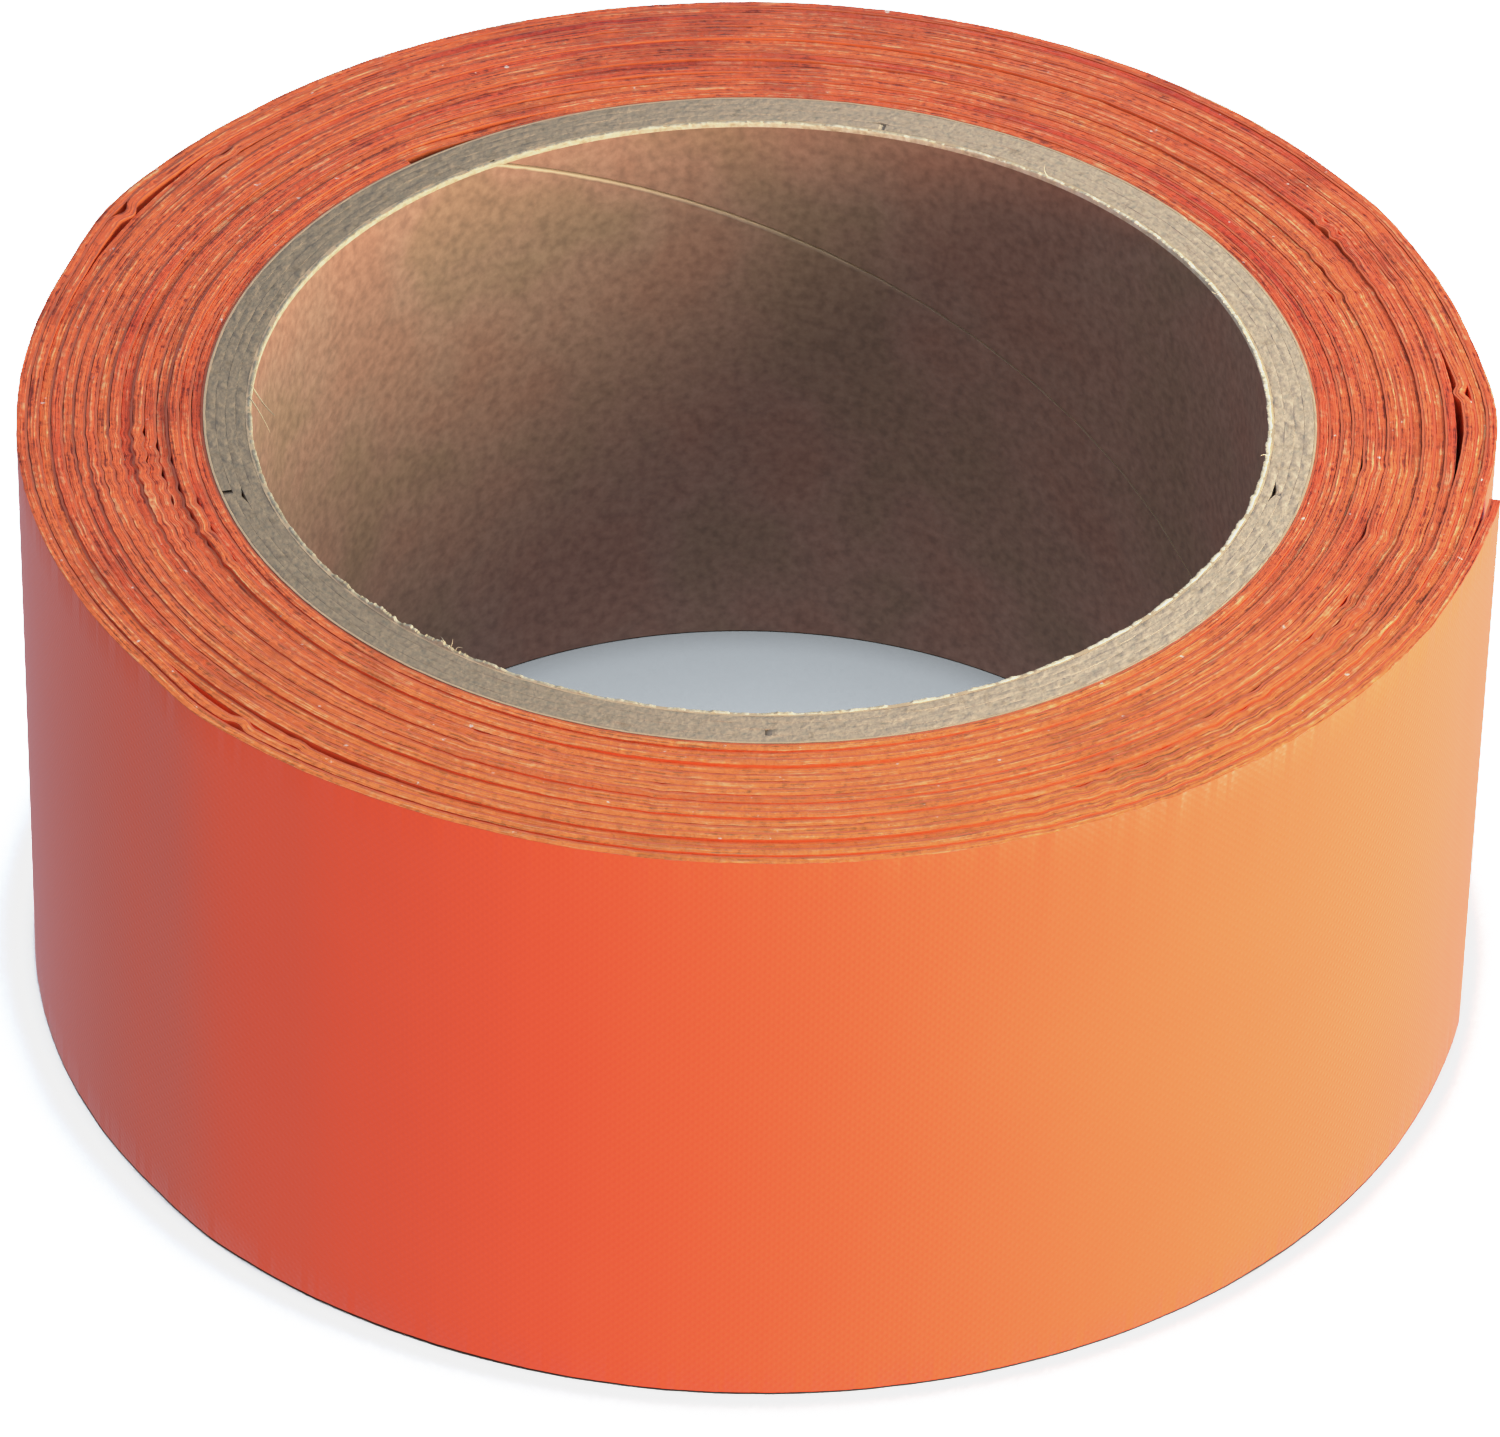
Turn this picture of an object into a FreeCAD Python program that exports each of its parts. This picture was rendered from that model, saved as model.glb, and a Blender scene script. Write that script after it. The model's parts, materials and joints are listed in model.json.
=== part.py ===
"""Roll of grip tape on a spiral-wound paperboard core, built as a FreeCAD document.

The row frame: millimetres, +Z up along the core's axis, origin on that axis at the bottom face.
Angles are in degrees, counter-clockwise seen from above, from +X.

The core is a stack of paperboard tubes, each wound as a helical strip with an open butt seam.
The tape is one strip in two layers, backing outside and adhesive inside. It starts on the core,
hugs what is under it, and climbs one turn pitch in a ramp over its own start. The ramp is short
on the first turn and grows longer with each turn. The last one still begins past the cut end, so
the tail lies on a level turn.
The last stretch before its cut end is the tail, in short segments that hinge as the tape peels.
"""

import FreeCAD, Part

import math
import os

import Sketcher

DRIVING = {
    "tape_width": 50.0,
    "bore_radius": 38.5,
    "liner_thick": 0.4,
    "board_thick": 0.75,
    "wrap_thick": 0.2,
    "seam_pitch": 105.5,
    "seam_gap": 0.5,
    "liner_seam": 310.0,
    "board_1_seam": 263.0,
    "board_2_seam": 172.0,
    "board_3_seam": 98.0,
    "board_4_seam": 24.0,
    "wrap_seam": 225.0,
    "backing_thick": 0.64,
    "adhesive_thick": 0.17,
    "winding_gap": 0.07,
    "adhesive_inset": 0.15,
    "start_angle": 131.0,
    "ramp_angle": 12.0,
    "ramp_growth": 9.0,
    "whole_turns": 15.0,
    "tail_root_angle": 307.0,
    "tail_step": 8.5,
}
BOARD_COUNT = 4
TAIL_COUNT = 5
CUT_MARGIN = 1.0

doc = FreeCAD.newDocument("grip_tape_roll")


def make_sheet():
    """The spreadsheet of driving dimensions, one aliased cell each."""
    sheet = doc.addObject("Spreadsheet::Sheet", "Dimensions")
    for row, (alias, value) in enumerate(DRIVING.items(), start=1):
        sheet.set(f"A{row}", alias)
        sheet.set(f"B{row}", str(value))
        sheet.setAlias(f"B{row}", alias)
    doc.recompute()
    return sheet


sheet = make_sheet()


def origin_plane(body, role):
    """The body's own origin plane with that role."""
    return next(f for f in body.Origin.OriginFeatures if f.Role == role)


def make_core_ply(name, inner, outer, seam_angle):
    """A paperboard tube with a helical butt seam; inner and outer are radius expressions."""
    body = doc.addObject("PartDesign::Body", name)
    body.Label = name

    ring = body.newObject("Sketcher::SketchObject", name + "_ring")
    ring.AttachmentSupport = [(origin_plane(body, "XY_Plane"), "")]
    ring.MapMode = "FlatFace"
    for expression in (outer, inner):
        circle = ring.addGeometry(Part.Circle(FreeCAD.Vector(), FreeCAD.Vector(0, 0, 1), 40.0))
        ring.addConstraint(Sketcher.Constraint("Coincident", circle, 3, -1, 1))
        radius = ring.addConstraint(Sketcher.Constraint("Radius", circle, 40.0))
        ring.setExpression(f"Constraints[{radius}]", expression)

    tube = body.newObject("PartDesign::Pad", name + "_tube")
    tube.Profile = ring
    tube.setExpression("Length", "Dimensions.tape_width")

    slot = body.newObject("Sketcher::SketchObject", name + "_slot")
    slot.AttachmentSupport = [(origin_plane(body, "XZ_Plane"), "")]
    slot.MapMode = "FlatFace"
    corners = [FreeCAD.Vector(x, y) for x, y in ((37, -2), (43, -2), (43, -1), (37, -1))]
    for start, end in zip(corners, corners[1:] + corners[:1]):
        slot.addGeometry(Part.LineSegment(start, end))
    for side in range(4):
        slot.addConstraint(Sketcher.Constraint("Coincident", side, 2, (side + 1) % 4, 1))
    for side, kind in enumerate(("Horizontal", "Vertical", "Horizontal", "Vertical")):
        slot.addConstraint(Sketcher.Constraint(kind, side))
    sizes = (
        ("DistanceX", (-1, 1, 0, 1), 37.0, f"{inner} - {CUT_MARGIN}"),
        ("DistanceX", (-1, 1, 0, 2), 43.0, f"{outer} + {CUT_MARGIN}"),
        ("DistanceY", (0, 1, -1, 1), 2.0, f"{CUT_MARGIN} + Dimensions.seam_gap / 2"),
        ("DistanceY", (1, 1, 1, 2), 1.0, "Dimensions.seam_gap"),
    )
    for kind, places, value, expression in sizes:
        number = slot.addConstraint(Sketcher.Constraint(kind, *places, value))
        slot.setExpression(f"Constraints[{number}]", expression)
    doc.recompute()

    seam = body.newObject("PartDesign::SubtractiveHelix", name + "_seam")
    seam.Profile = slot
    seam.ReferenceAxis = (slot, ["V_Axis"])
    seam.Mode = "pitch-height-angle"
    seam.setExpression("Pitch", "Dimensions.seam_pitch")
    seam.setExpression("Height", f"Dimensions.tape_width + 2 * {CUT_MARGIN}")
    body.Tip = seam
    body.setExpression(".Placement.Rotation.Angle", f"{seam_angle} * 1deg")
    doc.recompute()
    return body


def make_core():
    """The liner, the boards and the wrap, from the bore outwards, each with its own seam."""
    layers = [("core_inner_liner", "liner")]
    layers += [(f"core_board_{n + 1}", f"board_{n + 1}") for n in range(BOARD_COUNT)]
    layers += [("core_outer_wrap", "wrap")]
    plies = []
    inner = "Dimensions.bore_radius"
    for name, layer in layers:
        outer = f"{inner} + Dimensions.{layer.split('_')[0]}_thick"
        plies.append(make_core_ply(name, inner, outer, f"Dimensions.{layer}_seam"))
        inner = outer
    return plies


def core_radius():
    """The outside radius of the finished core."""
    return sheet.bore_radius + sheet.liner_thick + BOARD_COUNT * sheet.board_thick + sheet.wrap_thick


def turn_pitch():
    """How much the tape's radius grows with each turn."""
    return sheet.backing_thick + sheet.adhesive_thick + sheet.winding_gap


def at(radius, angle):
    """The point at that radius and angle, in the bottom plane."""
    turn = math.radians(angle)
    return FreeCAD.Vector(radius * math.cos(turn), radius * math.sin(turn), 0)


def arc(radius_a, radius_b, angle_a, angle_b):
    """An arc from one radius and angle to another, through the point halfway."""
    middle = at((radius_a + radius_b) / 2, (angle_a + angle_b) / 2)
    return Part.Arc(at(radius_a, angle_a), middle, at(radius_b, angle_b)).toShape()


def wound_path(offset):
    """The wound tape's line at that height above what is under it: a circle and a ramp each turn."""
    edges = []
    for turn in range(int(sheet.whole_turns)):
        low = core_radius() + offset + turn * turn_pitch()
        high = low + turn_pitch()
        begin = sheet.start_angle + 360 * turn
        end = begin + 360
        climb = end - sheet.ramp_angle - turn * sheet.ramp_growth
        level_middle = (begin + climb) / 2
        climb_middle = (climb + end) / 2
        edges.append(arc(low, low, begin, level_middle))
        edges.append(arc(low, low, level_middle, climb))
        edges.append(arc(low, (low + high) / 2, climb, climb_middle))
        edges.append(arc((low + high) / 2, high, climb_middle, end))
    outermost = core_radius() + offset + sheet.whole_turns * turn_pitch()
    last = 360 * sheet.whole_turns
    edges.append(arc(outermost, outermost, last + sheet.start_angle, last + sheet.tail_root_angle))
    return edges


def make_wound_layer(name, low, high, inset):
    """One layer of the wound tape, between two heights above what is under it."""
    inner = wound_path(low)
    outer = wound_path(high)
    first = core_radius()
    last = first + sheet.whole_turns * turn_pitch()
    start_cap = Part.makeLine(at(first + low, sheet.start_angle), at(first + high, sheet.start_angle))
    root = sheet.tail_root_angle
    end_cap = Part.makeLine(at(last + low, root), at(last + high, root))
    outline = doc.addObject("Part::Feature", name + "_outline")
    outline.Shape = Part.Face(Part.Wire(inner + [end_cap] + outer[::-1] + [start_cap]))
    outline.Placement = FreeCAD.Placement(FreeCAD.Vector(0, 0, inset), FreeCAD.Rotation())
    layer = doc.addObject("Part::Extrusion", name)
    layer.Label = name
    layer.Base = outline
    layer.DirMode = "Custom"
    layer.Dir = FreeCAD.Vector(0, 0, 1)
    layer.Solid = True
    layer.setExpression("LengthFwd", f"Dimensions.tape_width - 2 * {inset}")
    return layer


def make_tail_piece(name, low, high, inset, number):
    """One segment of one layer of the tail: a ring sector made from two cylinder sectors."""
    turn_height = "(Dimensions.backing_thick + Dimensions.adhesive_thick + Dimensions.winding_gap)"
    core = (
        f"(Dimensions.bore_radius + Dimensions.liner_thick + {BOARD_COUNT} * Dimensions.board_thick"
        " + Dimensions.wrap_thick)"
    )
    level = f"({core} + Dimensions.whole_turns * {turn_height})"
    sectors = []
    for side, height in (("outside", high), ("inside", low)):
        sector = doc.addObject("Part::Cylinder", f"{name}_{side}")
        sector.setExpression("Radius", f"{level} + {height}")
        sector.setExpression("Height", f"Dimensions.tape_width - 2 * {inset}")
        sector.setExpression("Angle", "Dimensions.tail_step * 1deg")
        sectors.append(sector)
    piece = doc.addObject("Part::Cut", name)
    piece.Label = name
    piece.Base, piece.Tool = sectors
    root_turn = f"(Dimensions.tail_root_angle + {number} * Dimensions.tail_step) * 1deg"
    piece.setExpression(".Placement.Rotation.Angle", root_turn)
    piece.setExpression(".Placement.Base.z", inset)
    return piece


def make_tape():
    """The wound strip and the tail's segments, adhesive and backing."""
    split = sheet.adhesive_thick
    top = split + sheet.backing_thick
    parts = [
        make_wound_layer("tape_adhesive", 0.0, split, sheet.adhesive_inset),
        make_wound_layer("tape_backing", split, top, 0.0),
    ]
    glue = "Dimensions.adhesive_thick"
    film = f"({glue} + Dimensions.backing_thick)"
    for number in range(TAIL_COUNT):
        place = number + 1
        parts.append(
            make_tail_piece(f"tail_adhesive_{place}", "0", glue, "Dimensions.adhesive_inset", number)
        )
        parts.append(make_tail_piece(f"tail_backing_{place}", glue, film, "0", number))
    return parts


def check_document():
    """Stops if any object of the document failed to compute."""
    for thing in doc.Objects:
        if {"Invalid", "Error"} & set(thing.State):
            raise RuntimeError(f"{thing.Name} failed: {thing.State}")


def export(parts):
    """Writes each sub-part's shape to its own STEP file, after checking it."""
    os.makedirs("parts", exist_ok=True)
    for part in parts:
        shape = part.Shape
        if shape.isNull() or not shape.isValid() or not shape.Solids:
            raise RuntimeError(f"{part.Label} has no valid solid")
        print(f"{part.Label}: {len(shape.Solids)} solid, {shape.Volume:.1f} mm3")
        shape.exportStep(f"parts/{part.Label}.step")


parts = make_core() + make_tape()
doc.recompute()
check_document()
export(parts)
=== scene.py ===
"""The looks of a roll of grip tape: a two-layer strip wound on a spiral paperboard core.

Every length in a dataclass field is in millimetres and every angle in degrees, counter-clockwise
seen from above, from +X, unless its name says otherwise. Meshes are in metres, in the CAD frame.
The "sweep" is the angle travelled along the wound strip from its start on the core.
"""

import json
import logging
import math
from dataclasses import dataclass
from enum import Enum, IntEnum

import bpy
import numpy as np
from mathutils import Matrix, Vector


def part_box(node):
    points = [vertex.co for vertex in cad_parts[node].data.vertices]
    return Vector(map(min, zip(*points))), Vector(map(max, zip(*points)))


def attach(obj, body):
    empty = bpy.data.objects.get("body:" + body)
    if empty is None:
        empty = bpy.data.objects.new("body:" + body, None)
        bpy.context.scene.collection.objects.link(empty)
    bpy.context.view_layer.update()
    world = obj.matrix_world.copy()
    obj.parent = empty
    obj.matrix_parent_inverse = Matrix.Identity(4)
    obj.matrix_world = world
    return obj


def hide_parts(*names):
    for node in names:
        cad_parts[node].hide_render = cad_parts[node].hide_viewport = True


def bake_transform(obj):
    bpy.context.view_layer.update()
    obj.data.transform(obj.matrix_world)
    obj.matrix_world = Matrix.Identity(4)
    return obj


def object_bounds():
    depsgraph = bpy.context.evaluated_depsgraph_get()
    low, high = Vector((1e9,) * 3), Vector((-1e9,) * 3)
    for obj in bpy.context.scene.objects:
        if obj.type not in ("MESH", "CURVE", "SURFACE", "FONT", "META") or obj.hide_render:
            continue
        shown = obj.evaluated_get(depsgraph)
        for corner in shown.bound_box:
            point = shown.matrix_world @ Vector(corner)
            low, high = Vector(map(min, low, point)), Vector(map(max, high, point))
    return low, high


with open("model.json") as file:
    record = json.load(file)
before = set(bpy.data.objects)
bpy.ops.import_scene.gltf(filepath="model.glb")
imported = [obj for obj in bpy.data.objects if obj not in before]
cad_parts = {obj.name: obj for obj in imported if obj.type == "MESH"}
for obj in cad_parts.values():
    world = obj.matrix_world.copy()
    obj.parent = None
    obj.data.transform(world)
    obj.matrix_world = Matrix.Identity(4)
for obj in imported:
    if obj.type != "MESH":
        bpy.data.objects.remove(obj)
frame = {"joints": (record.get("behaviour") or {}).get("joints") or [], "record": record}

CAD_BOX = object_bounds()
MM = 0.001  # metres in a millimetre
TURN = 360.0  # degrees in a whole turn
SHARP_ANGLE = 25.0  # edges bent by more than this are shaded sharp
CUT_END_ANGLE = 349.5  # where the strip's cut end is
RIPPLE_WAVES, RING_WAVES = 8, 9  # how many cosines make up each kind of ripple
CORNER_CUT = 0.6  # how much of the cut faces' look a corner has
LENGTH_STEPS = 20000  # steps in the sum for the strip's length
LEAST_EASING = 0.5  # the share of a lift that the next turn out keeps at least
BYTE = 255
SRGB_KNEE, SRGB_SLOPE, SRGB_SHIFT, SRGB_POWER = 0.04045, 12.92, 0.055, 2.4
MIX_FIRST, MIX_SECOND, MIX_RESULT = 6, 7, 2  # a mix node's colour sockets, whose names repeat
WAVE_RATIO = math.pi / 10  # a wave node's scale times the width of its stripes
COMBINED_CURVE = 3  # the response curve of red, green and blue together
FIBRE_SIDES = 6  # sides of a fibre, whose end two four-cornered faces close
FIBRE_CAP = ((0, 5, 4, 3), (0, 3, 2, 1))
LOG = logging.getLogger("grip_tape_roll")

Triple = tuple[float, float, float]
Range = tuple[float, float]
Colour = tuple[float, float, float, float]
Stops = tuple[tuple[float, Colour], ...]
Socket = bpy.types.NodeSocket
Material = bpy.types.Material
Piece = bpy.types.Object


class Seed(IntEnum):
    """The number that picks the phases of each ripple."""

    GAPS = 3
    DRIFT = 11
    FRAY = 12
    LEAN = 13
    LIP = 31
    LIP_LEAN = 33


def srgb(red: int, green: int, blue: int) -> Colour:
    """A colour given as it looks on a screen, turned into the linear values that shaders use.

    Args:
        red: The red part, 0 to 255.
        green: The green part, 0 to 255.
        blue: The blue part, 0 to 255.

    Returns:
        The linear red, green and blue, and an alpha of 1.
    """
    parts = np.array([red, green, blue]) / BYTE
    steep = ((parts + SRGB_SHIFT) / (1 + SRGB_SHIFT)) ** SRGB_POWER
    linear = np.where(parts <= SRGB_KNEE, parts / SRGB_SLOPE, steep)
    return (*[float(part) for part in linear], 1.0)


WHITE = srgb(255, 255, 255)


def window(offset: np.ndarray, spread: float) -> np.ndarray:
    """A smooth bump: half of one plus the cosine, 1 at no offset and 0 at the spread and beyond."""
    return 0.5 + 0.5 * np.cos(np.pi * np.clip(np.abs(offset) / spread, 0, 1))


def arc_window(angle: np.ndarray, middle: float, spread: float) -> np.ndarray:
    """The window about a middle angle, measured the short way round."""
    return window((angle - middle + TURN / 2) % TURN - TURN / 2, spread)


def smooth_step(share: np.ndarray) -> np.ndarray:
    """A share from 0 to 1 eased at both ends: its square times three minus twice the share."""
    return share * share * (3 - 2 * share)


def ripple(place: np.ndarray, longest: float, shortest: float, seed: int) -> np.ndarray:
    """A wandering value between -1 and 1: a weighted sum of cosines of the place.

    The wavelengths run from the longest to the shortest in equal ratios. Each cosine has its own
    phase, and a weight that is the square root of its wavelength, shared out to add up to 1.

    Args:
        place: Where to work it out, in any unit.
        longest: The longest wavelength, in that unit.
        shortest: The shortest wavelength, in that unit.
        seed: Picks the phases.

    Returns:
        The value at each place.
    """
    waves = np.geomspace(longest, shortest, RIPPLE_WAVES)
    weights = np.sqrt(waves) / np.sqrt(waves).sum()
    phases = np.random.default_rng(int(seed)).uniform(0, 2 * np.pi, len(waves))
    angles = 2 * np.pi * place[..., None] / waves + phases
    return (weights * np.cos(angles)).sum(axis=-1)


def ring_ripple(angle: np.ndarray, fewest: int, most: int, seed: int) -> np.ndarray:
    """A wandering value like ripple's that closes on itself after a full turn.

    Args:
        angle: The angles to work it out at.
        fewest: The smallest number of waves in a turn.
        most: The largest number of waves in a turn.
        seed: Picks the phases.

    Returns:
        The value at each angle, a sum of cosines with whole numbers of waves.
    """
    counts = np.unique(np.rint(np.geomspace(fewest, most, RING_WAVES)))
    weights = counts**-0.5 / (counts**-0.5).sum()
    phases = np.random.default_rng(int(seed)).uniform(0, 2 * np.pi, len(counts))
    turns = np.radians(angle)[..., None] * counts + phases
    return (weights * np.cos(turns)).sum(axis=-1)


def around_axis(radius: np.ndarray, angle: np.ndarray, height: np.ndarray) -> np.ndarray:
    """Points in metres from a radius and a height in millimetres and an angle about the axis."""
    turn = np.radians(angle)
    parts = radius * np.cos(turn), radius * np.sin(turn), height + 0 * radius
    return np.stack(parts, axis=-1) * MM


@dataclass(frozen=True)
class Section:
    """The closed outline of a strip or a tube wall, cut across its run.

    The first half of the points climbs the outer side, and the second half comes down the inner
    side, each point level with its partner.

    Attributes:
        offset: How far out of the inner side each point lies.
        height: How high each point lies.
        cut: 1 on the narrow top and bottom faces, 0 on the sides.
    """

    offset: np.ndarray
    height: np.ndarray
    cut: np.ndarray

    @classmethod
    def rounded(
        cls, thickness: float, low: float, high: float, rounding: float, levels: int
    ) -> "Section":
        """A tall narrow rectangle with rounded corners.

        The points of the sides stand at the middle height less half the height times the cosine
        of even steps from 0 to 180 degrees, so they are close together near the corners.

        Args:
            thickness: The distance between the two sides.
            low: The height of the bottom face.
            high: The height of the top face.
            rounding: The corner radius.
            levels: How many points each side has between its corners.

        Returns:
            The outline.
        """
        bend = rounding * (1 - math.sqrt(0.5))
        corner_in = np.array([rounding, bend, 0.0])
        corner_up = np.array([0.0, bend, rounding])
        middle, half = (high + low) / 2, (high - low) / 2 - rounding
        side = middle - half * np.cos(np.pi * np.arange(1, levels + 1) / (levels + 1))
        outer_height = np.concatenate([low + corner_up, side, high - corner_up[::-1]])
        inset = np.concatenate([corner_in, np.zeros(levels), corner_in[::-1]])
        cut = np.concatenate([[1, CORNER_CUT, 0], np.zeros(levels), [0, CORNER_CUT, 1]])
        return cls(
            np.concatenate([thickness - inset, inset[::-1]]),
            np.concatenate([outer_height, outer_height[::-1]]),
            np.concatenate([cut, cut[::-1]]),
        )

    def girth(self) -> np.ndarray:
        """The distance round the outline to each point, and back to the first, in metres."""
        points = np.stack([self.offset, self.height], axis=-1)
        steps = np.linalg.norm(np.roll(points, -1, axis=0) - points, axis=1)
        return np.concatenate([[0.0], np.cumsum(steps)]) * MM


def build_mesh(name: str, points: np.ndarray, faces: np.ndarray, cap_count: int) -> Piece:
    """An object from points and four-cornered faces, smooth except for its caps and sharp edges.

    Args:
        name: The name of the object and its mesh.
        points: The vertices, in metres.
        faces: The corners of each face.
        cap_count: How many faces at the end of the list stay flat.

    Returns:
        The object, linked to the scene.
    """
    mesh = bpy.data.meshes.new(name)
    mesh.vertices.add(len(points))
    mesh.vertices.foreach_set("co", points.astype(np.float32).ravel())
    mesh.loops.add(faces.size)
    mesh.loops.foreach_set("vertex_index", faces.astype(np.int32).ravel())
    mesh.polygons.add(len(faces))
    loop_starts = np.arange(0, faces.size, faces.shape[1], dtype=np.int32)
    mesh.polygons.foreach_set("loop_start", loop_starts)
    smooth = np.arange(len(faces)) < len(faces) - cap_count
    mesh.polygons.foreach_set("use_smooth", smooth)
    mesh.update(calc_edges=True)
    mesh.validate()
    mesh.set_sharp_from_angle(angle=math.radians(SHARP_ANGLE))
    piece = bpy.data.objects.new(name, mesh)
    bpy.context.scene.collection.objects.link(piece)
    return piece


def give_finish(piece: Piece, finish: Material) -> None:
    """Gives a piece its material."""
    piece.data.materials.append(finish)


def carry(
    name: str, grid: np.ndarray, section: Section, run: np.ndarray, closed: bool
) -> Piece:
    """The surface of a section carried along a run.

    Args:
        name: The piece's name.
        grid: The points, indexed by step along the run and by place round the section, in metres.
        section: The section, for its girth and its cut faces.
        run: The distance along the run at each step, in metres, the first coordinate of the UV map.
        closed: Whether the last step joins the first. If not, both ends get a cap.

    Returns:
        The piece, with a UV map "Surface" in metres and a corner attribute "cut_edge".
    """
    steps, around = grid.shape[:2]
    here = np.arange(steps if closed else steps - 1)
    after = (here + 1) % steps
    place = np.arange(around)
    beside = (place + 1) % around
    quads = np.stack(
        [
            here[:, None] * around + place,
            after[:, None] * around + place,
            after[:, None] * around + beside,
            here[:, None] * around + beside,
        ],
        axis=-1,
    ).reshape(-1, 4)
    girth = section.girth()
    spacing = run[1] - run[0]
    run_here = np.broadcast_to(run[here][:, None], (len(here), around))
    run_after = run_here + spacing
    if not closed:
        run_after = np.broadcast_to(run[after][:, None], run_here.shape)
    low = np.broadcast_to(girth[:-1], run_here.shape)
    high = np.broadcast_to(girth[1:], run_here.shape)
    surface = np.stack(
        [run_here, low, run_after, low, run_after, high, run_here, high], axis=-1
    ).reshape(-1, 4, 2)
    corners = np.stack([place, place, beside, beside], axis=-1)
    cut = np.broadcast_to(section.cut[corners], (len(here), *corners.shape))
    caps = np.empty((0, 4), dtype=int)
    if not closed:
        rung = np.arange(around // 2 - 1)
        first = np.stack([rung, rung + 1, around - 2 - rung, around - 1 - rung], axis=-1)
        caps = np.concatenate([first, first[:, ::-1] + (steps - 1) * around])
    across = np.stack([section.offset, section.height], axis=-1) * MM
    faces = np.concatenate([quads, caps])
    piece = build_mesh(name, grid.reshape(-1, 3), faces, len(caps))
    coordinates = np.concatenate([surface, across[caps % around]]).astype(np.float32)
    piece.data.uv_layers.new(name="Surface").data.foreach_set("uv", coordinates.ravel())
    cut_corners = np.concatenate([cut.ravel(), np.ones(caps.size)]).astype(np.float32)
    attribute = piece.data.attributes.new("cut_edge", "FLOAT", "CORNER")
    attribute.data.foreach_set("value", cut_corners)
    return piece


class Shader:
    """A material's node tree, put together one node at a time."""

    def __init__(self, name: str) -> None:
        """Starts an empty material whose principled shader feeds its output.

        Args:
            name: The material's name.
        """
        self.material = bpy.data.materials.new(name)
        self.material.use_nodes = True
        self.tree = self.material.node_tree
        self.tree.nodes.clear()
        self.surface = self.node("ShaderNodeBsdfPrincipled")
        self.node("ShaderNodeOutputMaterial", {"Surface": self.surface.outputs["BSDF"]})

    def feed(self, target: Socket, source: object) -> None:
        """Gives an input another node's output to read, or a plain value."""
        if isinstance(source, Socket):
            self.tree.links.new(source, target)
        else:
            target.default_value = source

    def node(
        self, kind: str, inputs: dict | None = None, **settings: object
    ) -> bpy.types.Node:
        """A new node.

        Args:
            kind: Which kind of node it is.
            inputs: What its inputs are fed, by name or by number.
            settings: Its properties.

        Returns:
            The node.
        """
        made = self.tree.nodes.new(kind)
        for name, value in settings.items():
            setattr(made, name, value)
        for key, value in (inputs or {}).items():
            self.feed(made.inputs[key], value)
        return made

    def place(self) -> Socket:
        """The point's coordinates on the object, in metres."""
        return self.node("ShaderNodeTexCoord").outputs["Object"]

    def run(self) -> Socket:
        """The distances along and round the piece, in metres, from its UV map."""
        return self.node("ShaderNodeUVMap", uv_map="Surface").outputs["UV"]

    def cut(self) -> Socket:
        """1 on the narrow cut faces and 0 on the broad sides."""
        return self.node("ShaderNodeAttribute", attribute_name="cut_edge").outputs["Fac"]

    def part(self, coordinates: Socket, axis: str) -> Socket:
        """One of three coordinates, called X, Y or Z."""
        return self.node("ShaderNodeSeparateXYZ", {"Vector": coordinates}).outputs[axis]

    def shaped(self, coordinates: Socket, scale: Triple, turn: float = 0.0) -> Socket:
        """Coordinates stretched by a scale for each axis, then turned about the third axis.

        Args:
            coordinates: The coordinates to change.
            scale: What each axis is multiplied by.
            turn: The turn, in degrees.

        Returns:
            The new coordinates.
        """
        rotation = (0, 0, math.radians(turn))
        inputs = {"Vector": coordinates, "Rotation": rotation, "Scale": scale}
        return self.node("ShaderNodeMapping", inputs).outputs["Vector"]

    def noise(self, coordinates: Socket, scale: float = 1.0, detail: float = 4.0) -> Socket:
        """Fractal noise from 0 to 1.

        Args:
            coordinates: Where it is read.
            scale: How many features fit in one unit.
            detail: How many octaves it has.

        Returns:
            The value.
        """
        inputs = {"Vector": coordinates, "Scale": scale, "Detail": detail}
        return self.node("ShaderNodeTexNoise", inputs).outputs["Fac"]

    def stripes(self, coordinates: Socket, width: float, wander: float) -> Socket:
        """Smooth parallel stripes across the first axis.

        Args:
            coordinates: Where they are read.
            width: The distance from one stripe to the next, in the coordinates' unit.
            wander: How much the stripes waver.

        Returns:
            The value, from 0 to 1.
        """
        inputs = {"Vector": coordinates, "Scale": WAVE_RATIO / width, "Distortion": wander}
        return self.node("ShaderNodeTexWave", inputs, wave_profile="SIN").outputs["Fac"]

    def ramp(self, value: Socket, *stops: tuple[float, Colour]) -> Socket:
        """A colour looked up between stops, each a place from 0 to 1 and a colour.

        Args:
            value: Where it is looked up.
            stops: The stops, lowest first.

        Returns:
            The colour.
        """
        made = self.node("ShaderNodeValToRGB", {"Fac": value})
        elements = made.color_ramp.elements
        for _ in stops[2:]:
            elements.new(1.0)
        for element, (place, colour) in zip(elements, stops):
            element.position = place
            element.color = colour
        return made.outputs["Color"]

    def mix(self, share: object, first: object, second: object, way: str = "MIX") -> Socket:
        """Two colours mixed by a share; each is a socket or a plain value.

        Args:
            share: How much of the second there is.
            first: The first colour.
            second: The second colour.
            way: How they combine, such as MIX or MULTIPLY.

        Returns:
            The mixed colour.
        """
        inputs = {"Factor": share, MIX_FIRST: first, MIX_SECOND: second}
        made = self.node("ShaderNodeMix", inputs, data_type="RGBA", blend_type=way)
        return made.outputs[MIX_RESULT]

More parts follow.
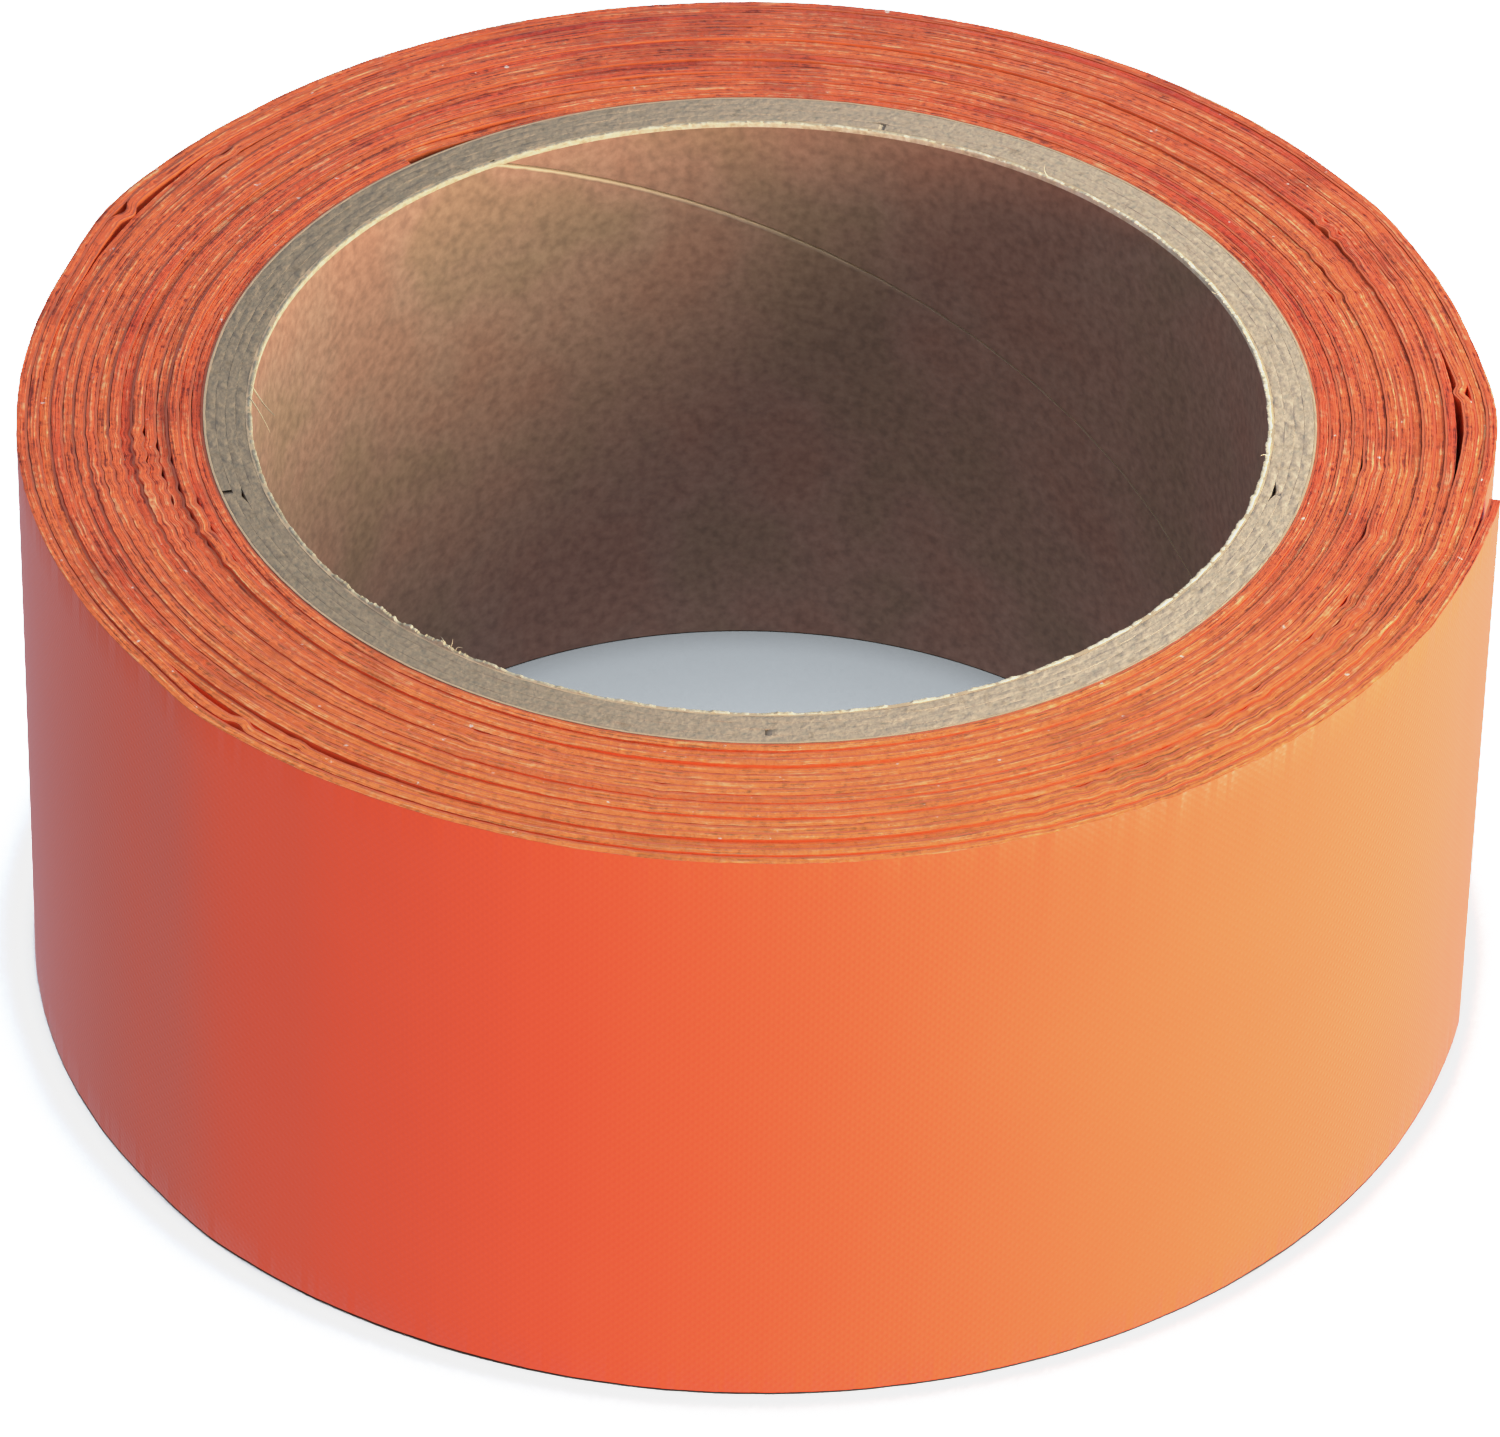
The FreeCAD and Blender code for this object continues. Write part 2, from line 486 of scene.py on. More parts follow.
    def maths(self, operation: str, first: Socket, second: object) -> Socket:
        """One arithmetic step on two values; the second may be a plain number."""
        made = self.node("ShaderNodeMath", {0: first, 1: second}, operation=operation)
        return made.outputs[0]

    def scaled(self, value: Socket, factor: float, offset: float) -> Socket:
        """A value times a factor, plus an offset."""
        return self.maths("ADD", self.maths("MULTIPLY", value, factor), offset)

    def fade(self, value: Socket, start: float, end: float) -> Socket:
        """A smooth step on a value, from 1 at the start to 0 at the end and beyond."""
        ends = {"From Min": start, "From Max": end, "To Min": 1.0, "To Max": 0.0}
        inputs = {"Value": value, **ends}
        made = self.node("ShaderNodeMapRange", inputs, interpolation_type="SMOOTHSTEP")
        return made.outputs["Result"]

    def bump(self, height: Socket, depth: float) -> None:
        """Tilts the surface's normal; a second bump is laid on the first.

        Args:
            height: The height, from 0 to 1.
            depth: What the height is multiplied by, in millimetres.
        """
        inputs = {"Strength": 1.0, "Distance": depth * MM, "Height": height}
        made = self.node("ShaderNodeBump", inputs)
        before = self.surface.inputs["Normal"].links
        if before:
            self.feed(made.inputs["Normal"], before[0].from_socket)
        self.feed(self.surface.inputs["Normal"], made.outputs["Normal"])

    def dress(self, inputs: dict[str, object]) -> Material:
        """Feeds the surface's inputs by name, and returns the material."""
        for name, value in inputs.items():
            self.feed(self.surface.inputs[name], value)
        return self.material


@dataclass(frozen=True)
class TapeFinish:
    """Orange embossed film with a satin face and fibrous cut edges.

    Attributes:
        face: The colour of the broad face.
        face_deep: The face's darker patches.
        edge: The usual colour of the cut edges.
        edge_pale: The edges' pale strands.
        edge_dark: The edges' soiled strands.
        edge_painted_light: Painted light: the paler, yellower colour the edges take on towards the
            front.
        speck: The colour of fine specks on the edges.
        turn_tints: What the edges are multiplied by along the run.
        soil_tints: What the edges are multiplied by where they are soiled.
        painted_light_turn: How far the side with the painted light is turned onto the X axis.
        painted_light_reach: Where the painted light is full and where it ends on that axis, in
            metres.
        painted_light_share: How much of the edges' colour the painted light takes at most.
        patch_scale: How many dark patches the face has in a metre.
        strand_scale: How many strands the edges have in a metre along and across the run.
        turn_scale: How many changes of tint the edges have in a metre of run.
        matting_scale: How many matted fibres the edges have in a metre.
        matting_share: How much the matting counts beside the strands.
        soil_scale: How many soiled places the edges have in a metre.
        speck_scale: How many specks the edges have in a metre.
        strand_depth: How deep the strands are.
        emboss: The spacing of the diagonal embossing.
        emboss_depth: How deep it is.
        emboss_wander: How much its lines waver.
    """

    face: Colour = srgb(240, 94, 48)
    face_deep: Colour = srgb(233, 87, 44)
    edge: Colour = srgb(242, 115, 66)
    edge_pale: Colour = srgb(250, 184, 134)
    edge_dark: Colour = srgb(148, 54, 36)
    edge_painted_light: Colour = srgb(244, 160, 62)
    speck: Colour = srgb(240, 206, 190)
    turn_tints: Stops = (
        (0.36, srgb(228, 150, 150)),
        (0.47, srgb(255, 232, 222)),
        (0.62, srgb(255, 255, 232)),
    )
    soil_tints: Stops = ((0.5, WHITE), (0.68, srgb(214, 196, 204)))
    painted_light_turn: float = 88.0
    painted_light_reach: Range = (0.055, 0.012)
    painted_light_share: float = 0.36
    patch_scale: float = 45.0
    strand_scale: Triple = (190.0, 4600.0, 1.0)
    turn_scale: Triple = (14.0, 0.0, 0.0)
    matting_scale: float = 1700.0
    matting_share: float = 0.5
    soil_scale: float = 150.0
    speck_scale: float = 1100.0
    strand_depth: float = 0.35
    emboss: float = 0.5
    emboss_depth: float = 0.014
    emboss_wander: float = 0.3

    def edge_colour(self, shader: Shader, strands: Socket, cut: Socket) -> Socket:
        """The colour of the cut edges.

        Args:
            shader: The material they belong to.
            strands: The pattern of the strands, from 0 to 1.
            cut: 1 on the cut edges.

        Returns:
            The strands' colours, tinted along the run, soiled, painted paler and yellower towards
            the front as painted light, and specked.
        """
        run, place = shader.run(), shader.place()
        dark, usual, pale = self.edge_dark, self.edge, self.edge_pale
        edge = shader.ramp(strands, (0.38, dark), (0.46, usual), (0.54, usual), (0.63, pale))
        turns = shader.noise(shader.shaped(run, self.turn_scale))
        soil = shader.noise(place, self.soil_scale, 7)
        for pattern, tints in ((turns, self.turn_tints), (soil, self.soil_tints)):
            edge = shader.mix(cut, edge, shader.ramp(pattern, *tints), "MULTIPLY")
        # Painted light: the cut edges turn paler and yellower towards the front, where the key
        # light falls.
        across = shader.part(shader.shaped(place, (1, 1, 1), self.painted_light_turn), "X")
        painted_light = shader.fade(across, *self.painted_light_reach)
        painted_light = shader.maths("MULTIPLY", painted_light, self.painted_light_share)
        edge = shader.mix(painted_light, edge, self.edge_painted_light)
        specks = shader.fade(shader.noise(place, self.speck_scale, 3), 0.76, 0.7)
        return shader.mix(shader.maths("MULTIPLY", specks, cut), edge, self.speck)

    def material(self) -> Material:
        """The material: two diagonal stripe patterns on the face, strands along the edges."""
        shader = Shader("tape_film")
        run, place, cut = shader.run(), shader.place(), shader.cut()
        face = shader.mix(shader.noise(place, self.patch_scale, 3), self.face, self.face_deep)
        strands = shader.noise(shader.shaped(run, self.strand_scale), detail=6)
        matting = shader.noise(place, self.matting_scale, 5)
        matting = shader.maths("MULTIPLY", matting, self.matting_share)
        both = shader.maths("ADD", strands, matting)
        strands = shader.maths("MULTIPLY", both, 1 / (1 + self.matting_share))

        turned = [shader.shaped(run, (1, 1, 1), turn) for turn in (45, -45)]
        spacing, wander = self.emboss * MM, self.emboss_wander
        emboss = [shader.stripes(way, spacing, wander) for way in turned]
        face_only = shader.maths("SUBTRACT", shader.maths("MULTIPLY", *emboss), cut)
        shader.bump(shader.maths("MAXIMUM", face_only, 0.0), self.emboss_depth)
        shader.bump(shader.maths("MULTIPLY", strands, cut), self.strand_depth)
        return shader.dress(
            {
                "Base Color": shader.mix(cut, face, self.edge_colour(shader, strands, cut)),
                "Roughness": shader.scaled(cut, 0.3, 0.4),
                "Specular IOR Level": 0.34,
                "Sheen Weight": 0.1,
                "Sheen Roughness": 0.4,
            }
        )


@dataclass(frozen=True)
class AdhesiveFinish:
    """Tacky amber adhesive, a little glossy, with fine pits.

    Attributes:
        clear: The colour where it is thin.
        thick: The colour where it is thick.
        mottle_scale: How many mottles it has in a metre.
        pit_scale: How many pits it has in a metre.
        pit_depth: How deep the pits are.
    """

    clear: Colour = srgb(236, 116, 64)
    thick: Colour = srgb(190, 84, 50)
    mottle_scale: float = 260.0
    pit_scale: float = 1500.0
    pit_depth: float = 0.05

    def material(self) -> Material:
        """The material: mottled colour, low roughness and a pitted surface."""
        shader = Shader("tacky_adhesive")
        place = shader.place()
        mottle = shader.noise(place, self.mottle_scale)
        shader.bump(shader.noise(place, self.pit_scale, 3), self.pit_depth)
        colour = shader.mix(mottle, self.clear, self.thick)
        return shader.dress({"Base Color": colour, "Roughness": shader.scaled(mottle, 0.25, 0.2)})


@dataclass(frozen=True)
class BoardFinish:
    """Recycled greyboard: matted grey and tan fibres with dark flecks.

    Attributes:
        name: The material's name.
        body: The usual colour.
        warm: The tan patches.
        cool: The green-grey patches.
        fleck: What the colour is multiplied by in the flecks.
        painted_shade: Painted shade: what the colour is multiplied by towards -X, away from the key
            light.
        painted_shade_reach: Where the painted shade is full and where it ends on the X axis, in
            metres.
        fibre_scale: How many fibres it has in a metre along and across the run.
        fleck_scale: How many flecks it has in a metre.
        patch_scale: How many flecked patches it has in a metre.
        patch_share: How strong the flecks are at most.
        pore_scale: How many pores it has in a metre.
        fibre_depth: How deep the fibres are.
        pore_depth: How deep the pores are.
    """

    name: str = "grey_board"
    body: Colour = srgb(193, 171, 147)
    warm: Colour = srgb(205, 182, 156)
    cool: Colour = srgb(172, 160, 141)
    fleck: Colour = srgb(198, 196, 188)
    painted_shade: Colour = srgb(204, 204, 200)
    painted_shade_reach: Range = (-0.036, 0.03)
    fibre_scale: Triple = (1500.0, 2600.0, 1.0)
    fleck_scale: float = 1100.0
    patch_scale: float = 120.0
    patch_share: float = 0.8
    pore_scale: float = 2600.0
    fibre_depth: float = 0.05
    pore_depth: float = 0.06

    def material(self) -> Material:
        """The material: fibre noise drawn out along the run, with flecks and painted shade towards
        -X, on a matt surface.
        """
        shader = Shader(self.name)
        run, place = shader.run(), shader.place()
        fibres = shader.noise(shader.shaped(run, self.fibre_scale), detail=6)
        body = shader.ramp(fibres, (0.28, self.cool), (0.5, self.body), (0.7, self.warm))
        flecks = shader.noise(place, self.fleck_scale, 3)
        flecks = shader.ramp(flecks, (0.3, self.fleck), (0.46, WHITE))
        patches = shader.noise(place, self.patch_scale)
        patches = shader.maths("MULTIPLY", patches, self.patch_share)
        body = shader.mix(patches, body, flecks, "MULTIPLY")
        # Painted shade: the board is darker and greyer towards -X, away from the key light.
        painted_shade_mask = shader.fade(shader.part(place, "X"), *self.painted_shade_reach)
        body = shader.mix(painted_shade_mask, body, self.painted_shade, "MULTIPLY")
        shader.bump(fibres, self.fibre_depth)
        shader.bump(shader.noise(place, self.pore_scale, 3), self.pore_depth)
        return shader.dress(
            {
                "Base Color": body,
                "Roughness": shader.scaled(fibres, 0.1, 0.82),
                "Specular IOR Level": 0.2,
            }
        )


@dataclass(frozen=True)
class KraftFinish:
    """Brown kraft paper with a fine mottle and clouds, paler at its cut rim, with a painted
    highlight along the seam.

    Attributes:
        body: The usual colour.
        light: The pale mottle.
        dark: The dark mottle.
        torn: The bare fibres at the cut rim, and the painted highlight along the seam.
        fibre_and_highlight_share: How much the bare fibres and the painted seam highlight cover.
        seam_highlight_width: How far the painted highlight reaches from the seam.
        seam_highlight_scale: How many ragged places the seam's painted highlight has in a metre.
        torn_depth: How far the bare fibres stand up.
        seam_highlight_fade: Where the painted seam highlight is full and where it ends, in metres
            round the ply, so that it fades down the bore.
        cloud_tints: What the colour is multiplied by in the clouds.
        cloud_scale: How many clouds it has in a metre.
        grain_scale: How many mottles it has in a metre.
        grain_depth: How deep the mottle is.
    """

    body: Colour = srgb(146, 113, 93)
    light: Colour = srgb(158, 124, 103)
    dark: Colour = srgb(131, 101, 83)
    torn: Colour = srgb(232, 208, 170)
    fibre_and_highlight_share: float = 0.55
    seam_highlight_width: float = 0.55
    seam_highlight_scale: float = 900.0
    torn_depth: float = 0.06
    seam_highlight_fade: Range = (0.052, 0.069)
    cloud_tints: Stops = (
        (0.38, srgb(240, 244, 234)),
        (0.5, srgb(255, 252, 250)),
        (0.62, srgb(255, 242, 238)),
    )
    cloud_scale: float = 75.0
    grain_scale: float = 1300.0
    grain_depth: float = 0.03

    def material(self) -> Material:
        """The material: a fine mottle and clouds on a matt surface, pale at the cut rim, with a
        painted highlight at the seam.
        """
        shader = Shader("kraft_liner")
        run, place, cut = shader.run(), shader.place(), shader.cut()
        grain = shader.noise(place, self.grain_scale, 5)
        body = shader.ramp(grain, (0.3, self.dark), (0.5, self.body), (0.7, self.light))
        clouds = shader.ramp(shader.noise(place, self.cloud_scale, 5), *self.cloud_tints)
        body = shader.mix(1.0, body, clouds, "MULTIPLY")

        # Painted highlight: a pale ragged strip along one edge of the seam, fading down the bore
        # from the top.
        width = self.seam_highlight_width * MM
        ragged = shader.maths("MULTIPLY", shader.noise(place, self.seam_highlight_scale, 3), width)
        from_seam = shader.maths("SUBTRACT", shader.part(run, "X"), ragged)
        high_up = shader.fade(shader.part(run, "Y"), *self.seam_highlight_fade)
        seam = shader.maths("MULTIPLY", shader.fade(from_seam, 0.0, width), high_up)
        pale = shader.maths("MAXIMUM", seam, cut)
        body = shader.mix(shader.maths("MULTIPLY", pale, self.fibre_and_highlight_share), body, self.torn)
        shader.bump(grain, self.grain_depth)
        shader.bump(pale, self.torn_depth)
        return shader.dress(
            {
                "Base Color": body,
                "Roughness": shader.scaled(grain, 0.12, 0.74),
                "Specular IOR Level": 0.3,
            }
        )


@dataclass(frozen=True)
class Buckle:
    """A place where one turn of the tape lifts off the turn under it.

    Every turn outside it rides over the lift. The buckled turn itself dips back in narrow folds.

    Attributes:
        turn: Which turn buckles, counted from the core.
        angle: Where its middle is.
        rise: How far it lifts.
        spread: How far the lift reaches to each side.
        folds: How many folds it has.
        fold_shift: How far the folds' middle is from the lift's middle.
        fold_step: The angle from one fold to the next.
        fold_width: How far a fold reaches to each side.
    """

    turn: int
    angle: float
    rise: float
    spread: float
    folds: int = 0
    fold_shift: float = 0.0
    fold_step: float = 2.0
    fold_width: float = 1.0

    def lift(self, sweep: np.ndarray, start_angle: float, slack: float) -> np.ndarray:
        """How far the strip stands out at each sweep because of this buckle.

        The lift is a smooth window about the middle. On the buckled turn it is multiplied by one
        minus a narrower window at each fold. Each turn outside keeps the same share of the lift
        of the turn under it, which is the share the first one keeps when it takes up the slack.

        Args:
            sweep: The sweeps.
            start_angle: The angle of the strip's start.
            slack: How much of the lift the free space between two turns takes up.

        Returns:
            The lift at each sweep.
        """
        along = sweep - self.turn * TURN - (self.angle - start_angle) % TURN
        turns_out = np.rint(along / TURN)
        offset = along - TURN * turns_out
        swell = self.rise * window(offset, self.spread)
        places = self.fold_shift + (np.arange(self.folds) - (self.folds - 1) / 2) * self.fold_step
        reach = window(offset[:, None] - places, self.fold_width)
        folded = swell * (1 - reach.max(axis=1, initial=0.0))
        easing = 1 - min(slack / self.rise, 1 - LEAST_EASING)
        riding = swell * easing ** np.maximum(turns_out - 1, 0)
        return np.where(turns_out > 0, riding, np.where(turns_out == 0, folded, 0.0))


FOLDED = (
    Buckle(12, 0.5, 0.52, 12, folds=1, fold_shift=3.2, fold_width=1.3),
    Buckle(14, 152.5, 0.6, 12, folds=1, fold_shift=1.2, fold_width=1.6),
    Buckle(12, 142.0, 0.25, 7, folds=1, fold_width=1.3),
    Buckle(14, 225.0, 0.5, 9, folds=1, fold_shift=2.6, fold_width=1.4),
    Buckle(13, 234.0, 0.2, 8, folds=1, fold_shift=-1.5, fold_width=1.3),
    Buckle(9, 29.8, 0.3, 6, folds=2, fold_step=2.3, fold_width=0.9),
)
SWOLLEN = (
    Buckle(15, 240.0, 0.12, 50),
    Buckle(14, 75.0, 0.2, 35),
    Buckle(13, 236.0, 0.16, 16),
)
CREASES = tuple(
    Buckle(*crease)
    for crease in (
        (5, 186.0, 0.2, 1.2), (5, 190.5, 0.17, 1.1), (4, 188.3, 0.2, 1.2),
        (4, 193.0, 0.24, 1.3), (4, 197.2, 0.2, 1.1), (3, 190.8, 0.18, 1.1),
        (3, 195.4, 0.24, 1.3), (3, 200.1, 0.22, 1.2), (3, 205.0, 0.18, 1.1),
        (2, 198.4, 0.22, 1.3), (2, 203.0, 0.22, 1.2), (2, 208.5, 0.16, 1.1),
        (4, 244.5, 0.16, 1.6), (6, 262.0, 0.14, 1.3), (11, 292.5, 0.2, 1.5),
        (11, 297.0, 0.2, 1.4), (10, 299.5, 0.22, 1.3), (11, 302.5, 0.22, 1.5),
        (10, 305.5, 0.18, 1.2), (9, 311.0, 0.22, 1.4), (10, 314.0, 0.18, 1.2),
        (9, 316.5, 0.2, 1.3), (8, 325.5, 0.2, 1.3), (9, 328.5, 0.16, 1.1),
        (8, 331.5, 0.2, 1.4), (6, 341.5, 0.24, 2.4), (4, 352.0, 0.16, 1.8),
        (5, 20.0, 0.2, 1.4), (6, 24.5, 0.2, 1.3), (5, 27.5, 0.16, 1.3),
        (8, 58.0, 0.14, 2.0), (11, 104.0, 0.14, 2.2),
    )
)


class Layer(Enum):
    """The two layers of the strip."""

    ADHESIVE = "adhesive"
    BACKING = "backing"


@dataclass
class TapeStrip:
    """The wound strip: where its underside runs, and the meshes of its two layers.

    Attributes:
        width: The strip's width.
        core_radius: The radius it starts on.
        backing: The backing's thickness.
        adhesive: The adhesive's thickness.
        pitch: How much the radius grows with each turn.
        start_angle: Where the strip starts on the core.
        first_ramp: The angle over which the first turn climbs over the strip's start.
        ramp_growth: How much longer that climb is on each further turn.
        turns: The number of whole turns.
        corner: The rounding of the backing's corners.
        adhesive_corner: The rounding of the adhesive's corners.
        adhesive_inset: How far the adhesive stops short of the backing's edges.
        edge_play: How far the edges wander up and down along the run.
        fray: How far the cut faces are frayed.
        edge_lean: How far the edges lean to either side.
        gap_play: How far the gaps between turns wander.
        gap_waves: The longest and shortest waves, in degrees, in which the gaps wander.
        edge_waves: The same for the edges.
        edge_gain: What the edges' wander is multiplied by before it is held to their play.
        fray_waves: The same waves for the fray.
        lean_waves: The same for the lean.
        lean_power: How quickly the lean fades away from an edge.
        crease_power: How quickly a crease fades away from the top edge.
        slack: How much of a deep buckle's lift the free space between two turns takes up.
        crease_slack: The same for a crease.
        tail_lift: How far the cut end stands off.
        tail_lift_reach: The angle over which the cut end lifts.
        columns: The number of steps in a turn.
    """

    width: float
    core_radius: float
    start_angle: float = 131.0
    backing: float = 0.66
    adhesive: float = 0.185
    pitch: float = 0.88
    first_ramp: float = 12.0
    ramp_growth: float = 9.0
    turns: int = 15
    corner: float = 0.018
    adhesive_corner: float = 0.006
    adhesive_inset: float = 0.015
    edge_play: float = 0.11
    fray: float = 0.035
    edge_lean: float = 0.06
    gap_play: float = 0.012
    gap_waves: Range = (500.0, 21.0)
    edge_waves: Range = (900.0, 23.0)
    edge_gain: float = 1.9
    fray_waves: Range = (5.0, 0.6)
    lean_waves: Range = (11.0, 0.9)
    lean_power: int = 60
    crease_power: int = 36
    slack: float = 0.03
    crease_slack: float = 0.045
    tail_lift: float = 0.3
    tail_lift_reach: float = 9.0
    columns: int = 1080

    def sweep_at(self, angle: float) -> float:
        """The sweep of the last turn at an angle."""
        return self.turns * TURN + (angle - self.start_angle) % TURN

    def end_lift(self, sweep: np.ndarray, end: float) -> np.ndarray:
        """The smooth rise of the last stretch towards the cut end at the sweep called end."""
        share = np.clip(1 - (end - sweep) / self.tail_lift_reach, 0, 1)
        return self.tail_lift * smooth_step(share)

    def level(self, sweep: np.ndarray) -> np.ndarray:
        """The radius of the inner side with nothing lifted.

        Each turn keeps its radius and then climbs one pitch along a smooth step. To that is
        added a slow wander of the gaps.

        Args:
            sweep: The sweeps.

        Returns:
            The radius at each sweep.
        """
        turn = np.floor(sweep / TURN)
        ramp = self.first_ramp + self.ramp_growth * np.minimum(turn, self.turns - 1)
        climb = np.clip((sweep - turn * TURN - TURN + ramp) / ramp, 0, 1)
        settled = np.clip(sweep / TURN, 0, 1)
        wander = self.gap_play * (1 + ripple(sweep, *self.gap_waves, Seed.GAPS)) * settled
        return self.core_radius + self.pitch * (turn + smooth_step(climb)) + wander

    def lift(self, sweep: np.ndarray, end: float) -> np.ndarray:
        """How far the buckles and the cut end's lift push the top edge out, added up."""
        total = self.end_lift(sweep, end)
        for buckle in FOLDED + SWOLLEN:
            total += buckle.lift(sweep, self.start_angle, self.slack)
        return total

    def crease(self, sweep: np.ndarray) -> np.ndarray:
        """How far the creases push the top edge out, added up."""
        return sum(one.lift(sweep, self.start_angle, self.crease_slack) for one in CREASES)

    def section(self, layer: Layer, levels: int) -> Section:
        """The outline of one layer, with its offset counted from the strip's inner side.

        Args:
            layer: Which layer it is.
            levels: How many points each side has between its corners.

        Returns:
            The outline. The adhesive stops short of the backing's edges.
        """
        if layer is Layer.BACKING:
            low = self.edge_play
            plain = Section.rounded(self.backing, low, self.width - low, self.corner, levels)
            return Section(plain.offset + self.adhesive, plain.height, plain.cut)
        low = self.edge_play + self.adhesive_inset
        return Section.rounded(self.adhesive, low, self.width - low, self.adhesive_corner, levels)

    def piece(
        self, name: str, layer: Layer, first: float, last: float, end: float, levels: int
    ) -> Piece:
        """The mesh of one layer between two sweeps.

        The section is carried along the strip's curve. What lifts is lifted fully at the top edge
        and half as far at the bottom, and the creases fade with a high power of the distance from
        the bottom. The edges wander up and down together along the run. They also lean to either
        side, which fades with a high power of the distance from mid-height, and the cut faces
        carry a fine fray.

        Args:
            name: The piece's name.
            layer: Which layer it is.
            first: The sweep where it starts.
            last: The sweep where it ends.
            end: The sweep of the strip's cut end.
            levels: How many points each side has between its corners.

        Returns:
            The piece.
        """
        section = self.section(layer, levels)
        count = int(round((last - first) / TURN * self.columns)) + 1
        sweep = np.linspace(first, last, max(count, 3))
        rise = section.height / self.width
        at_edge = np.abs(2 * rise - 1) ** self.lean_power
        at_top = np.clip(rise, 0, 1) ** self.crease_power
        lean = self.edge_lean * ripple(sweep, *self.lean_waves, Seed.LEAN)[:, None] * at_edge
        lifted = self.lift(sweep, end)[:, None] * (0.5 + 0.5 * rise)
        stand = self.level(sweep)[:, None] + lifted + self.crease(sweep)[:, None] * at_top + lean
        wander = self.edge_gain * ripple(sweep, *self.edge_waves, Seed.DRIFT)
        drift = self.edge_play * np.clip(wander, -1, 1)
        fray = self.fray * ripple(sweep, *self.fray_waves, Seed.FRAY)
        height = section.height + drift[:, None] + fray[:, None] * section.cut
        angle = np.broadcast_to((sweep + self.start_angle)[:, None], height.shape)
        grid = around_axis(stand + section.offset, angle, height)
        run = np.radians(sweep) * (self.core_radius + self.pitch * sweep / TURN / 2) * MM
        return carry(name, grid, section, run, closed=False)

    def length(self, first: float, last: float) -> float:
        """The strip's length between two sweeps, in metres: the radius summed over the angle."""
        sweep = np.linspace(first, last, LENGTH_STEPS)
        radius = self.level(sweep) + self.adhesive + self.backing / 2
        middles = (radius[1:] + radius[:-1]) / 2
        return float((middles * np.diff(np.radians(sweep))).sum()) * MM


@dataclass
class StripPart:
    """A part of the strip, made of backing pieces and the adhesive pieces under them.

    Attributes:
        strip: The wound strip.
        film: The backing's material.
        glue: The adhesive's material.
        end_sweep: The sweep of the strip's cut end.
    """

    strip: TapeStrip
    film: Material
    glue: Material
    end_sweep: float

    def stretch(self, name: str, first: float, last: float, levels: int) -> tuple[Piece, Piece]:
        """The backing and the adhesive between two sweeps, dressed.

        Args:
            name: What comes before "_backing" and "_adhesive" in their names.
            first: The sweep where the stretch starts.
            last: The sweep where it ends.
            levels: How many points each side of the backing has between its corners.

        Returns:
            The backing and the adhesive.
        """
        made = []
        for layer, finish, slot, rows in (
            (Layer.BACKING, self.film, "tape_backing", levels),
            (Layer.ADHESIVE, self.glue, "adhesive", 1),
        ):
            label = f"{name}_{layer.value}"
            piece = self.strip.piece(label, layer, first, last, self.end_sweep, rows)
            give_finish(piece, finish)
            made.append(piece)
        return tuple(made)


@dataclass
class WoundTape(StripPart):
    """The tape that stays on the roll, up to where the tail begins.

    Attributes:
        root_sweep: The sweep where the tail's first piece begins.
        group_turns: The turn at which each group of windings starts.
        levels: How many points each side of the backing has in the groups that are covered.
        outer_levels: The same for the last group, whose side is seen.
    """

    root_sweep: float
    group_turns: tuple[int, ...] = (0, 4, 8, 12)
    levels: int = 2
    outer_levels: int = 5

    def build(self) -> list[Piece]:
        """Makes each group of windings, riding on the roll.

        Returns:
            The pieces.
        """
        bounds = [*(turn * TURN for turn in self.group_turns), self.root_sweep]
        made = []
        for number, (first, last) in enumerate(zip(bounds, bounds[1:]), start=1):
            levels = self.outer_levels if last == self.root_sweep else self.levels
            backing, adhesive = self.stretch(f"winding_{number}", first, last, levels)
            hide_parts("tape_backing")
            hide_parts("tape_adhesive")
            for piece in (backing, adhesive):
                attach(piece, "roll")
            flat = (self.strip.width * MM, self.strip.length(first, last))
            made += [backing, adhesive]
        return made


@dataclass
class PeelTail(StripPart):
    """The last stretch before the cut end, made in stretches across the hinges where it peels.

    Attributes:
        hinge_sweeps: The sweep of each hinge, starting with the one nearest the roll.
        levels: How many points each side of the backing has between its corners.
    """

    hinge_sweeps: list[float]
    levels: int = 5

    @property
    def half_step(self) -> float:
        """Half the sweep from one hinge to the next."""
        return (self.hinge_sweeps[1] - self.hinge_sweeps[0]) / 2

    @property
    def root_sweep(self) -> float:
        """The sweep where the tail begins."""
        return self.hinge_sweeps[0] - self.half_step

    def middle(self, sweep: float) -> tuple[float, ...]:
        """The point in metres on the strip's inner side, at half its height, at a sweep."""
        place = np.array([sweep])
        height = np.array([self.strip.width / 2])
        point = around_axis(self.strip.level(place), place + self.strip.start_angle, height)[0]
        return tuple(float(part) for part in point)

    def build(self) -> list[Piece]:
        """Makes a stretch across each hinge, and the last half, which rides on the last tail body.

        Returns:
            The pieces.
        """
        made = []
        for number, hinge in enumerate(self.hinge_sweeps, start=1):
            first, last = hinge - self.half_step, hinge + self.half_step
            pair = self.stretch(f"tail_{number}", first, last, self.levels)
            ends = self.middle(first), self.middle(last)
            for piece, node in zip(pair, (f"tail_backing_{number}", f"tail_adhesive_{number}")):
                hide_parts(node)
                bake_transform(piece)
            made += pair
        end_pair = self.stretch("tail_end", last, self.end_sweep, self.levels)
        for piece in end_pair:
            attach(piece, f"tail_{len(self.hinge_sweeps)}")
        return [*made, *end_pair]


@dataclass(frozen=True)
class Slit:
    """A short split between two plies at the core's top.

    Attributes:
        angle: Where its middle is.
        spread: How far it reaches to each side.
        width: How wide it opens.
    """

    angle: float
    spread: float
    width: float


